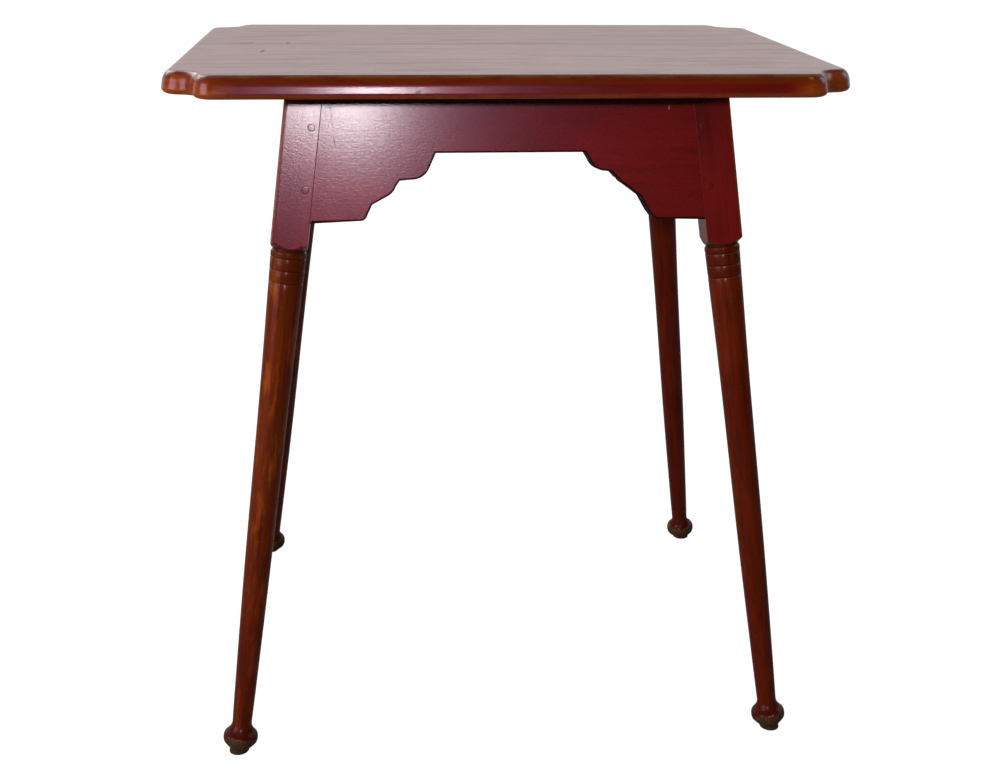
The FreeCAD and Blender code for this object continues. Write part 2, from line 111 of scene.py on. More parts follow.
# radius and share of the way from the ankle to the rings
SHAFT_SHARES = ((0.0107, 0.099), (0.0129, 0.385), (0.01435, 0.757))
PAD_RADIUS = 0.0098
# knots of the foot from the pad over the ball to the ankle: radius, height
FOOT = ((PAD_RADIUS, 0.0022), (0.0101, 0.0034), (0.0113, 0.0046), (0.0149, 0.0087),
        (0.01675, 0.0114), (0.01723, 0.0152), (0.0163, 0.0193), (0.0127, 0.0232),
        (0.0103, 0.0277), (ANKLE_RADIUS, ANKLE_HEIGHT))
FOOT_X = FRAME_X - HALF_BLOCK / math.cos(SPLAY_LONG) + SLOPE_LONG * UNDER_Z
FOOT_Y = FRAME_Y - HALF_BLOCK / math.cos(SPLAY_SHORT) + SLOPE_SHORT * UNDER_Z
TRIM = 0.02

# Pegs through the tenons, levels along the leg
PEG_RADIUS = 0.0035
PEG_TIP = 0.72
PEG_LENGTH = 0.02
PEG_PROUD = 0.00008
PEG_INSET = 0.0072
PEG_ALONG = HALF_BLOCK - PEG_INSET
PEG_UPPER = 0.0369
PEG_LOWER = 0.0934
PEG_LEVELS = (LEG_RUN - PEG_UPPER, LEG_RUN - PEG_LOWER)

# Aprons: half a stepped edge, (across, height) from the middle and the lowest edge
APRON_DEPTH = 0.1222
APRON_SPARE = 0.006
APRON_THICK = 0.023
APRON_REVEAL = 0.0001
APRON_EASE = 0.0009
EDGE_LINE = 0.0017
FLAT_FACING = 0.97
PATTERN_HALF = 0.202
ARCH_Z = 0.0642
EDGE = {
    "arch": 0.0688,
    "inner_round": (0.0745, 0.0494),
    "inner_flat": (0.09, 0.0394),
    "middle_riser": 0.102,
    "middle_round": (0.1055, 0.0328),
    "middle_slope": (0.1132, 0.0244),
    "bend": 0.015,
    "outer_riser": (0.128, 0.0174),
    "outer_round": (0.132, 0.0069),
    "outer_flat": (0.1385, 0.002),
}
# the right half of the front apron was sawn a little differently
RIGHT_EDGE = {
    "arch": 0.0705,
    "inner_round": (0.0745, 0.0558),
    "inner_flat": (0.0885, 0.046),
    "middle_riser": 0.0948,
    "middle_round": (0.101, 0.0394),
    "middle_slope": (0.108, 0.0326),
    "bend": 0.015,
    "outer_riser": (0.1232, 0.0226),
    "outer_round": (0.1322, 0.007),
    "outer_flat": (0.1395, 0.001),
}

# How finely curves are divided
ARC_STEPS = 8
CORNER_STEPS = 12
ROUND_STEPS = 16
FOOT_STEPS = 5
SHAFT_STEPS = 12
COLLAR_STEPS = 8
SHOULDER_STEPS = 28
BLOCK_FLAT_STEPS = 14
BLOCK_CORNER_STEPS = 8
PEG_SIDES = 24
PEG_STEPS = 5
EASE_STEPS = 3

# Edges sharper than these angles stay sharp, degrees
TOP_SHARP = 35
LEG_SHARP = 38
PEG_SHARP = 35
APRON_SHARP = 30

# Shifts in the wood, so that no two pieces have the same figure
LEG_SHIFT_X = 0.4
LEG_SHIFT_Y = 0.7
APRON_SHIFT = 0.3

# Camera, fitted to the photograph's frame
IMAGE_WIDTH = 1000
FOCAL_PIXELS = 1313
SENSOR = 36
CAMERA_PLACE = Vector((-0.118, -1.350, 0.826))
CAMERA_YAW = math.radians(5.29)
CAMERA_PITCH = math.radians(20.90)
CAMERA_ROLL = math.radians(0.60)

# Lamps: place, target, size, power
LAMPS = {
    "key": ((-0.19, -2.0, 1.08), (0, -0.1, 0.55), 0.12, 12),
    "left_fill": ((-3.0, -2.1, 1.5), (0, 0, 0.4), 2.2, 95),
    "back_fill": ((-2.4, 2.6, 3.2), (0, 0, 0.4), 2.4, 90),
    "right_fill": ((3.3, 0.4, 2.2), (0, 0, 0.4), 1.5, 18),
}

# World: brightest towards one way, with the range of facing and of strength
WORLD_WAY = (-0.1, 0.95, 0.2)
WORLD_FACING = (-0.5, 0.95)
WORLD_STRENGTH = (0.03, 0.4)

# Sweep: a round floor whose rim rises
SWEEP_FLAT = 10.0
SWEEP_REACH = 4.0
SWEEP_FRONT_RISE = 2.0
SWEEP_BACK_RISE = 8.0
SWEEP_SIDES = 64
SWEEP_STEPS = 10
SWEEP_GREY = (0.3, 0.3, 0.3, 1)
SWEEP_MATT = 0.9
WHITE = (1, 1, 1, 1)
# its glow in the varnish, from a place at the left and towards the back, and as it is looked at:
# the span of distance and the strengths at both ends
LEFT_GLOW = (-2.3, -2.5, 0.0)
LEFT_SPAN = (1.4, 0.3, 0.0, 0.8)
BACK_SPAN = (1.0, 6.0, 0.02, 0.88)
SEEN_SPAN = (0.8, 5.0, 0.9, 0.98)


def arc(centre, start, end, steps=ARC_STEPS):
    """Points on the shorter arc from start to end about a centre, both ends included."""
    first, last = (p - centre for p in (start, end))
    turn = first.angle_signed(last)
    return [centre + Matrix.Rotation(-turn * step / steps, 2) @ first for step in range(steps + 1)]


def curve(knots, steps):
    """Points of a smooth curve through the knots, without the last knot."""
    guarded = [2 * knots[0] - knots[1]] + knots + [2 * knots[-1] - knots[-2]]
    points = []
    for before, start, end, after in zip(guarded, guarded[1:], guarded[2:], guarded[3:]):
        slope = end - before
        bend = 2 * before - 5 * start + 4 * end - after
        twist = 3 * start - 3 * end + after - before
        for step in range(steps):
            t = step / steps
            points.append(start + 0.5 * (slope * t + bend * t ** 2 + twist * t ** 3))
    return points


def soft_min(a, b, width):
    share = max(0.0, min(1.0, 0.5 + 0.5 * (b - a) / width))
    return b * (1 - share) + a * share - width * share * (1 - share)


def new_object(name, builder, materials, node, grain, local):
    """Object from a bmesh, riding on the frame in a CAD node's place.

    grain gives each point's wood coordinates, with the fibres along the third one, and local its
    place on the piece, for wear and dirt.
    """
    mesh = bpy.data.meshes.new(name)
    bmesh.ops.recalc_face_normals(builder, faces=builder.faces)
    builder.to_mesh(mesh)
    builder.free()
    for field, rule in (("grain", grain), ("local", local)):
        values = mesh.attributes.new(field, "FLOAT_VECTOR", "POINT").data
        for vertex in mesh.vertices:
            values[vertex.index].vector = rule(vertex.co)
    for material in materials:
        mesh.materials.append(material)
    piece = bpy.data.objects.new(name, mesh)
    bpy.context.scene.collection.objects.link(piece)
    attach(piece, "root")
    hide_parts(node)
    return piece


def smooth(piece, angle):
    """Smooth shading, with edges sharper than the angle in degrees kept."""
    mesh = piece.data
    mesh.polygons.foreach_set("use_smooth", [True] * len(mesh.polygons))
    mesh.set_sharp_from_angle(angle=math.radians(angle))


def cap(builder, place, normal):
    """Cut a closed mesh with a plane, drop what lies beyond it and close the cut."""
    parts = builder.verts[:] + builder.edges[:] + builder.faces[:]
    cut = bmesh.ops.bisect_plane(builder, geom=parts, plane_co=place, plane_no=normal,
                                 clear_outer=True)
    edges = [item for item in cut["geom_cut"] if isinstance(item, bmesh.types.BMEdge)]
    bmesh.ops.contextual_create(builder, geom=edges)


def bridge(builder, loops):
    """Quads between successive loops of points, closed at both ends; returns the vertices."""
    rings = [[builder.verts.new(point) for point in loop] for loop in loops]
    for low, high in zip(rings, rings[1:]):
        count = len(low)
        for index in range(count):
            after = (index + 1) % count
            builder.faces.new((low[index], low[after], high[after], high[index]))
    builder.faces.new(rings[0][::-1])
    builder.faces.new(rings[-1])
    return rings


def top_corner(inset):
    """Plan points of the corner at +x, +y, from the end round to the back, drawn in by inset."""
    reach = HOLLOW_INSET + math.sqrt((LOBE + HOLLOW) ** 2 - (LOBE - HOLLOW_INSET) ** 2)
    hollow = Vector((TOP_X - HOLLOW_INSET, TOP_Y - HOLLOW_INSET))
    end_lobe = Vector((TOP_X - LOBE, TOP_Y - reach))
    back_lobe = Vector((TOP_X - reach, TOP_Y - LOBE))
    radius = LOBE - inset
    near_end = end_lobe + (hollow - end_lobe).normalized() * radius
    near_back = back_lobe + (hollow - back_lobe).normalized() * radius
    points = arc(end_lobe, end_lobe + Vector((radius, 0)), near_end, CORNER_STEPS)
    points += arc(hollow, near_end, near_back, CORNER_STEPS)[1:]
    return points + arc(back_lobe, near_back, back_lobe + Vector((0, radius)), CORNER_STEPS)[1:]


def top_loop(inset, level):
    """Outline of the whole top at one level."""
    corner = top_corner(inset)
    plan = corner + [Vector((-p.x, p.y)) for p in reversed(corner)]
    plan += [-p for p in corner] + [Vector((p.x, -p.y)) for p in reversed(corner)]
    return [Vector((p.x, p.y, level)) for p in plan]


def top_profile():
    """(inset, level) up the edge of the top: lower round, leaning upright, upper round."""
    lower = Vector((LOWER_ROUND, UNDER_Z + LOWER_ROUND))
    edge = [Vector((LOWER_ROUND + FLAT_STRIP, UNDER_Z))]
    edge += arc(lower, lower - Vector((0, LOWER_ROUND)), lower - Vector((LOWER_ROUND, 0)))
    start = math.atan(ROUND_DROP / ROUND_REACH * math.tan(EDGE_LEAN))
    upper = []
    for step in range(ROUND_STEPS + 1):
        turn = start + (math.pi / 2 - start) * step / ROUND_STEPS
        inset = UPPER_ROUND - ROUND_REACH * math.cos(turn)
        upper.append(Vector((inset, TOP_Z - ROUND_DROP * (1 - math.sin(turn)))))
    upright = [edge[-1].lerp(upper[0], share) for share in UPRIGHT_CUTS]
    return edge + upright + upper + [Vector((UPPER_ROUND + FLAT_STRIP, TOP_Z))]


def top_board(name, node, side, material):
    """One board of the top, in front of the seam or behind it."""
    builder = bmesh.new()
    bridge(builder, [top_loop(inset, level) for inset, level in top_profile()])
    cap(builder, Vector((0, SEAM_Y, 0)), Vector((0, -side, 0)))
    piece = new_object(name, builder, [material], node,
                       lambda p: Vector((p.y, p.z, p.x)), lambda p: p)
    smooth(piece, TOP_SHARP)
    for polygon in piece.data.polygons:
        polygon.use_smooth = polygon.area < LARGE_AREA


def shaft_knots():
    """(radius, height) along the shaft, from the ankle to the lowest ring line."""
    knots = [Vector((ANKLE_RADIUS, ANKLE_HEIGHT))]
    for radius, share in SHAFT_SHARES:
        knots.append(Vector((radius, ANKLE_HEIGHT + share * (RINGS_END - ANKLE_HEIGHT))))
    return knots + [Vector((RING_RADIUS - (RING_COUNT - 1) * RING_TAPER, RINGS_END))]


def leg_profile():
    """(radius, height) of the turning from below the pad to the neck under the block."""
    profile = [Vector((PAD_RADIUS, -TRIM))]
    profile += curve([Vector(knot) for knot in FOOT], FOOT_STEPS)
    profile += curve(shaft_knots(), SHAFT_STEPS)
    for ring in reversed(range(RING_COUNT)):
        radius = RING_RADIUS - ring * RING_TAPER
        for offset, cut in RING_SECTION:
            level = RING_LEVELS[ring] + offset * RING_WIDTH
            profile.append(Vector((radius - cut * RING_CUT, level)))
    for step in range(COLLAR_STEPS + 1):
        t = step / COLLAR_STEPS
        drop = (COLLAR_RADIUS - NECK_RADIUS) * (1 - math.sqrt(1 - t ** 2))
        level = NECK - NECK_WIDTH - COLLAR_LENGTH / 2 * (1 - t)
        profile.append(Vector((COLLAR_RADIUS - drop, level)))
    return profile + [Vector((NECK_RADIUS, NECK))]


def block_radius(angle, side_x, side_y):
    """Distance from the leg's axis to its square block; the outer arris is worn rounder."""
    across, along = math.cos(angle), math.sin(angle)
    ease = OUTER_EASE if across * side_x > 0 and along * side_y > 0 else INNER_EASE
    flat = HALF_BLOCK / max(abs(across), abs(along))
    centre = HALF_BLOCK - ease
    if min(abs(across), abs(along)) * flat <= centre:
        return flat
    reach = (abs(across) + abs(along)) * centre
    return reach + math.sqrt(reach ** 2 - 2 * centre ** 2 + ease ** 2)


def section_angles():
    """Directions round a leg, close together at the block's corners."""
    edge = math.atan((HALF_BLOCK - OUTER_EASE) / HALF_BLOCK)
    corner = math.pi / 2 - 2 * edge
    angles = []
    for quarter in range(4):
        middle = quarter * math.pi / 2
        for step in range(BLOCK_FLAT_STEPS + 1):
            angles.append(middle + edge * (2 * step / BLOCK_FLAT_STEPS - 1))
        for step in range(1, BLOCK_CORNER_STEPS):
            angles.append(middle + edge + corner * step / BLOCK_CORNER_STEPS)
    return angles


def leg_place(side_x, side_y):
    """Matrix from an upright leg about the origin to its splayed place."""
    axis = Vector((side_y * SLOPE_SHORT, -side_x * SLOPE_LONG, 0))
    tilt = math.atan(math.hypot(SLOPE_LONG, SLOPE_SHORT))
    foot = Matrix.Translation((side_x * FOOT_X, side_y * FOOT_Y, 0))
    return foot @ Matrix.Rotation(tilt, 4, axis)


def leg(name, node, side_x, side_y, materials):
    """Turned leg with its square block, trimmed level at the floor and under the top."""
    angles = section_angles()

    def loop(radius_at, height):
        points = []
        for angle in angles:
            radius = radius_at(angle)
            points.append(Vector((radius * math.cos(angle), radius * math.sin(angle), height)))
        return points

    def round_section(radius):
        return lambda angle: radius

    def block_section(angle):
        return block_radius(angle, side_x, side_y)

    def shoulder_section(radius):
        return lambda angle: soft_min(radius, block_section(angle), SHOULDER_CREASE)

    loops = [loop(round_section(radius), height) for radius, height in leg_profile()]
    for step in range(1, SHOULDER_STEPS + 1):
        radius = NECK_RADIUS + (STOCK_RADIUS - NECK_RADIUS) * step / SHOULDER_STEPS
        loops.append(loop(shoulder_section(radius), NECK + SHOULDER * step / SHOULDER_STEPS))
    for height in [BLOCK_END + cut for cut in BLOCK_CUTS] + [LEG_RUN + TRIM]:
        loops.append(loop(block_section, height))
    builder = bmesh.new()
    bridge(builder, loops)
    for face in builder.faces:
        face.material_index = 1 if face.calc_center_median().z < NECK else 0
    place = leg_place(side_x, side_y)
    bmesh.ops.transform(builder, matrix=place, verts=builder.verts)
    cap(builder, UNDER_Z * UP, UP)
    cap(builder, 0 * UP, -UP)
    back = place.inverted()
    shift = Vector((side_x * LEG_SHIFT_X, side_y * LEG_SHIFT_Y, 0))
    mirror = Vector((side_x, side_y, 1))
    piece = new_object(name, builder, materials, node,
                       lambda p: back @ p + shift, lambda p: (back @ p) * mirror)
    smooth(piece, LEG_SHARP)


def peg_seats(joints):
    """Places of the pegs' ends, outwards along z.

    A joint is (side_x, side_y, whether its apron runs along x).
    """
    seats = []
    for side_x, side_y, along_x in joints:
        out = Vector((0, side_y, 0)) if along_x else Vector((side_x, 0, 0))
        inward = Vector((-side_x, 0, 0)) if along_x else Vector((0, -side_y, 0))
        turn = out.to_track_quat("Z", "Y").to_matrix().to_4x4()
        for level in PEG_LEVELS:
            face = inward * PEG_ALONG + out * HALF_BLOCK + UP * level
            seats.append(leg_place(side_x, side_y) @ Matrix.Translation(face) @ turn)
    return seats


def pegs(name, node, joints, material):
    """Domed pegs through the tenons of one apron, two in each joint."""
    seats = peg_seats(joints)
    backs = [seat.inverted() for seat in seats]
    profile = [(PEG_RADIUS, PEG_PROUD - PEG_LENGTH)]
    for step in range(PEG_STEPS + 1):
        share = step / PEG_STEPS
        radius = PEG_RADIUS * (1 - (1 - PEG_TIP) * share)
        profile.append((radius, PEG_PROUD * math.sin(share * math.pi / 2)))
    turns = [2 * math.pi * side / PEG_SIDES for side in range(PEG_SIDES)]
    builder = bmesh.new()
    for seat in seats:
        bridge(builder, [[seat @ Vector((radius * math.cos(turn), radius * math.sin(turn), height))
                          for turn in turns] for radius, height in profile])

    def local(point):
        return min((back @ point for back in backs), key=lambda spot: spot.length)

    piece = new_object(name, builder, [material], node, lambda p: p, local)
    smooth(piece, PEG_SHARP)


def apron_edge(edge, share):
    """Lower edge of half an apron from the middle of its arch outwards."""

    def spot(name, level=None):
        across, height = edge[name] if level is None else (edge[name], level)
        return Vector((across * share, height))

    def level_arc(start, flat):
        reach = start - flat
        return arc(flat + Vector((0, reach.length_squared / (2 * reach.y))), start, flat)

    inner_flat = spot("inner_flat")
    bend_start, bend_end = spot("middle_round"), spot("middle_slope")
    chord = bend_end - bend_start
    rise = math.sqrt(edge["bend"] ** 2 - chord.length_squared / 4)
    bend_centre = (bend_start + bend_end) / 2 + Vector((-chord.y, chord.x)).normalized() * rise
    points = [spot("arch", ARCH_Z)]
    points += level_arc(spot("inner_round"), inner_flat)
    points += [spot("middle_riser", inner_flat.y)]
    points += arc(bend_centre, bend_start, bend_end)
    points += [spot("outer_riser")]
    return points + level_arc(spot("outer_round"), spot("outer_flat"))


def apron(name, node, turn, long, right_edge, materials):
    """Stepped apron leaning with the legs, between the inner faces of two legs."""
    reach, side_splay = (FRAME_X, SPLAY_LONG) if long else (FRAME_Y, SPLAY_SHORT)
    out, lean = (FRAME_Y, SPLAY_SHORT) if long else (FRAME_X, SPLAY_LONG)
    widening = math.tan(side_splay) * math.cos(lean)
    share = (reach - HALF_BLOCK + widening * APRON_DEPTH) / PATTERN_HALF
    high = APRON_DEPTH + APRON_SPARE

    def end(height):
        return reach - BLOCK / math.cos(side_splay) + widening * (APRON_DEPTH - height)

    def frontness(face):
        return face.calc_area() - sum(abs(vertex.co.y) for vertex in face.verts)

    plan = [Vector((-end(high), high)), Vector((-end(0), 0))]
    plan += [Vector((-p.x, p.y)) for p in reversed(apron_edge(EDGE, share))]
    plan += apron_edge(right_edge, share)
    plan += [Vector((end(0), 0)), Vector((end(high), high))]
    builder = bmesh.new()
    rings = bridge(builder, [[Vector((p.x, depth, p.y)) for p in plan]
                             for depth in (0, APRON_THICK)])
    rims = [builder.edges.get(pair) for ring in rings for pair in zip(ring[1:-2], ring[2:-1])]
    bmesh.ops.bevel(builder, geom=rims, offset=APRON_EASE, segments=EASE_STEPS, profile=0.5,
                    affect="EDGES")
    front = max(builder.faces, key=frontness)
    rim = bmesh.ops.inset_region(builder, faces=[front], thickness=EDGE_LINE,
                                 use_even_offset=True)["faces"]
    builder.normal_update()
    for face in builder.faces:
        middle = face.calc_center_median()
        sawn = (abs(face.normal.y) < FLAT_FACING and middle.z < ARCH_Z + APRON_EASE
                and abs(middle.x) < end(middle.z) - EDGE_LINE)
        face.material_index = 1 if sawn else 0
    # the strip along the front face's lower edge takes the dark edge colour: a dark line along the
    # lower edge
    for face in rim:
        around = [near for edge in face.edges for near in edge.link_faces if near not in rim]
        face.material_index = max(near.material_index for near in around)
    foot = Vector((0, APRON_REVEAL - out - APRON_DEPTH * math.sin(lean),
                   UNDER_Z - APRON_DEPTH * math.cos(lean)))
    place = Matrix.Rotation(turn, 4, "Z") @ Matrix.Translation(foot)
    place = place @ Matrix.Rotation(-lean, 4, "X")
    bmesh.ops.transform(builder, matrix=place, verts=builder.verts)
    cap(builder, UNDER_Z * UP, UP)
    back = place.inverted()
    shift = Vector((turn, 0, APRON_SHIFT * turn))
    # moves the front apron's marks off the others
    off_marks = Vector((turn, 0, 0))
    piece = new_object(name, builder, materials, node,
                       lambda p: (back @ p).yzx + shift, lambda p: back @ p + off_marks)
    smooth(piece, APRON_SHARP)


class Nodes:
    """Short way to build a material's node tree."""

    def __init__(self, name):
        self.material = bpy.data.materials.new(name)
        self.material.use_nodes = True
        self.tree = self.material.node_tree
        self.shader = self.tree.nodes["Principled BSDF"]

    def put(self, socket, value):
        if isinstance(value, bpy.types.NodeSocket):
            self.tree.links.new(value, socket)
        else:
            socket.default_value = value

    def set(self, **values):
        for key, value in values.items():
            self.put(self.shader.inputs[key.replace("_", " ")], value)

    def node(self, kind, settings=None, **inputs):
        made = self.tree.nodes.new("ShaderNode" + kind)
        for key, value in (settings or {}).items():
            setattr(made, key, value)
        for key, value in inputs.items():
            self.put(made.inputs[key.replace("_", " ")], value)
        return made

    def field(self, name):
        return self.node("Attribute", {"attribute_name": name}).outputs["Vector"]

    def parts(self, vector):
        return self.node("SeparateXYZ", Vector=vector).outputs[:]

    def math(self, operation, a, b=0.0):
        made = self.node("Math", {"operation": operation})
        self.put(made.inputs[0], a)
        self.put(made.inputs[1], b)
        return made.outputs[0]

    def plus(self, a, b):
        return self.math("ADD", a, b)

    def minus(self, a, b):
        return self.math("SUBTRACT", a, b)

    def size(self, value):
        return self.math("ABSOLUTE", value)

    def fold(self, operation, values):
        result = values[0]
        for value in values[1:]:
            result = self.math(operation, result, value)
        return result

    def times(self, *values):
        return self.fold("MULTIPLY", values)

    def most(self, *values):
        return self.fold("MAXIMUM", values)

    def vector(self, operation, a, b):
        made = self.node("VectorMath", {"operation": operation})
        self.put(made.inputs[0], a)
        self.put(made.inputs[1], b)
        return made.outputs["Value" if operation in ("DOT_PRODUCT", "DISTANCE") else "Vector"]

    def span(self, value, low, high, to_low=0.0, to_high=1.0):
        """Smooth step of the value from low to high."""
        return self.node("MapRange", {"interpolation_type": "SMOOTHSTEP"}, Value=value,
                         From_Min=low, From_Max=high, To_Min=to_low, To_Max=to_high).outputs[0]

    def spread(self, noise, to_low, to_high):
        """Most of a noise's range mapped to another one."""
        return self.span(noise, 0.3, 0.7, to_low, to_high)

    def line(self, value, middle, width):
        """Soft mask that is 1 where the value is at the middle."""
        return self.span(self.size(self.minus(value, middle)), width, width * 0.3)

    def mix(self, share, a, b):
        made = self.node("Mix", {"data_type": "RGBA"})
        self.put(made.inputs[0], share)
        self.put(made.inputs[6], a)
        self.put(made.inputs[7], b)
        return made.outputs[2]

    def noise(self, place, scale, detail=4.0, roughness=0.55, distortion=0.0):
        return self.node("TexNoise", Vector=self.vector("MULTIPLY", place, scale), Scale=1.0,
                         Detail=detail, Roughness=roughness, Distortion=distortion).outputs["Fac"]

    def bump(self, height, distance):
        return self.node("Bump", Height=height, Strength=1.0, Distance=distance).outputs["Normal"]

    def varnish(self, normal, level, gloss):
        """Broad tinted sheen of the stain under a thin clear gloss."""
        self.set(Normal=normal, Coat_Normal=normal, Specular_IOR_Level=level,
                 Specular_Tint=SHEEN_TINT, Coat_Weight=gloss, Coat_Roughness=GLOSS_ROUGHNESS)

    def stroke(self, place, start, end, width):
        """Soft mask of a stroke between two places on a piece."""
        run = Vector(end) - Vector(start)
        away = self.vector("SUBTRACT", place, start)
        share = self.math("DIVIDE", self.vector("DOT_PRODUCT", away, run), run.length_squared)
        nearest = self.vector("MULTIPLY", self.node("Clamp", Value=share).outputs[0], run)
        return self.span(self.vector("DISTANCE", away, nearest), width, width * 0.4)


def colour(red, green, blue):
    """Linear colour from display values out of 255."""

    def linear(value):
        value /= 255
        return value / 12.92 if value <= 0.04045 else ((value + 0.055) / 1.055) ** 2.4

    return (linear(red), linear(green), linear(blue), 1.0)


# Stain and wear
OXBLOOD = colour(92, 12, 3)
CRIMSON = colour(112, 15, 6)
ROSE = colour(118, 30, 12)
ROSE_WARM = colour(130, 40, 17)
DEEP = colour(56, 8, 3)
WARM = colour(100, 18, 5)
RUSSET = colour(86, 18, 1)
UMBER = colour(42, 8, 2)
COPPER = colour(100, 27, 2)
AMBER = colour(122, 54, 6)
HONEY = colour(146, 66, 8)
OCHRE = colour(110, 66, 8)
BISTRE = colour(100, 36, 3)
TAN = colour(146, 92, 44)
OLIVE = colour(48, 42, 18)
MOSS = colour(44, 46, 25)
WORN = colour(80, 40, 26)
# dark dirt, also used as painted shade under the top and in the legs' necks
GRIME_AND_SHADE = colour(18, 7, 4)
SAWN = colour(38, 14, 8)
SAWN_DARK = colour(16, 6, 4)
RAW = colour(120, 84, 54)
RAW_DARK = colour(80, 52, 32)
BARE = colour(176, 136, 92)
BARE_DARK = colour(118, 84, 52)
IRON = colour(62, 58, 54)
RUST = colour(98, 60, 38)

# Finish: sheen of the stain, gloss of the varnish, depth of its wrinkles and of other relief
SHEEN = 0.22
SHEEN_TINT = (1.0, 0.45, 0.76, 1.0)
GLOSS = 0.27
GLOSS_ROUGHNESS = 0.16
TURNED_SHEEN = 0.1
TURNED_GLOSS = 0.045
WRINKLE = 0.000038
TOP_GRAIN = 0.00004
SAW_DEPTH = 0.0003
BARE_DEPTH = 0.00012
RUST_DEPTH = 0.0001
# the upright faces are shaded as if they leaned back by this slope
CUP = math.tan(math.radians(3.15))

# Painted shade, dirt and wear: how far the painted shade under the top reaches, the stain along
# the seam, the rubbed part of the top's corners, and the rim of the worn foot with how much higher
# it lies in places
UNDER_SHADE = 0.018
SEAM_STAIN = 0.004
CORNER_RUB = (0.075, 0.04)
RIM_HEIGHT = 0.0121
RIM_OUTER_RISE = 0.0065
RIM_BACK_RISE = 0.009

# Old marks, each from a start to an end on its piece, with a width
TOP_DENTS = (((-0.23, -0.048, TOP_Z), (-0.2288, -0.035, TOP_Z), 0.0018),
             ((-0.2572, 0.0263, TOP_Z), (-0.2446, 0.0296, TOP_Z), 0.002),
             ((-0.2099, 0.0235, TOP_Z), (-0.2091, 0.0285, TOP_Z), 0.002))
EDGE_DENTS = (((-0.0859, -TOP_Y, 0.6586), (-0.0839, -TOP_Y, 0.6584), 0.002),
              ((0.0868, -TOP_Y, 0.6584), (0.0878, -TOP_Y, 0.6576), 0.0016))
EDGE_CHIP = ((0.2556, 0.0035 - TOP_Y, 0.6706), (0.2576, 0.0035 - TOP_Y, 0.67), 0.0016)
APRON_DING = ((0.1472, 0, 0.1018), (0.1474, 0, 0.1042), 0.001)
APRON_SCRATCH = ((-0.1631, 0, 0.1049), (-0.1598, 0, 0.0668), 0.0009)


def grain_masks(n, grain):
    """Masks of a stain brushed along the grain: slow patches, clouds, fibres and small pores."""
    patches = n.span(n.noise(grain, (14, 14, 5), detail=3), 0.36, 0.66)
    clouds = n.span(n.noise(grain, (70, 70, 16), roughness=0.6), 0.46, 0.74)
    fibres = n.span(n.noise(grain, (620, 620, 11), detail=5, roughness=0.62), 0.46, 0.72)
    pores = n.span(n.noise(grain, (1300, 1300, 50), detail=2), 0.62, 0.72)
    return patches, clouds, fibres, pores


def stain(n, masks, main, bright, dark, streaks):
    """Colour of the stained wood, with its dark streaks at a given strength."""
    patches, clouds, fibres, pores = masks
    base = n.mix(patches, main, bright)
    base = n.mix(n.times(clouds, streaks), base, dark)
    base = n.mix(n.times(fibres, streaks), base, dark)
    return n.mix(n.times(pores, 0.45), base, dark)


def raw_wood(n, masks):
    """Colour of a face that was never stained."""
    clouds, fibres = masks[1:3]
    return n.mix(n.most(fibres, n.times(clouds, 0.6)), RAW, RAW_DARK)


def wrinkles(n, place):
    """Fine wrinkles of an old varnish."""
    return n.noise(place, (310, 310, 640), detail=2, roughness=0.5, distortion=0.6)


def painted_shade_under_top(n, base, height, joint):
    """Painted shade: colour darkened just below the joint with the top, where its overhang shades
    the wood.
    """
    share = n.span(height, joint - UNDER_SHADE, joint - UNDER_SHADE * 0.85, 0.0, 0.85)
    return n.mix(share, base, GRIME_AND_SHADE)


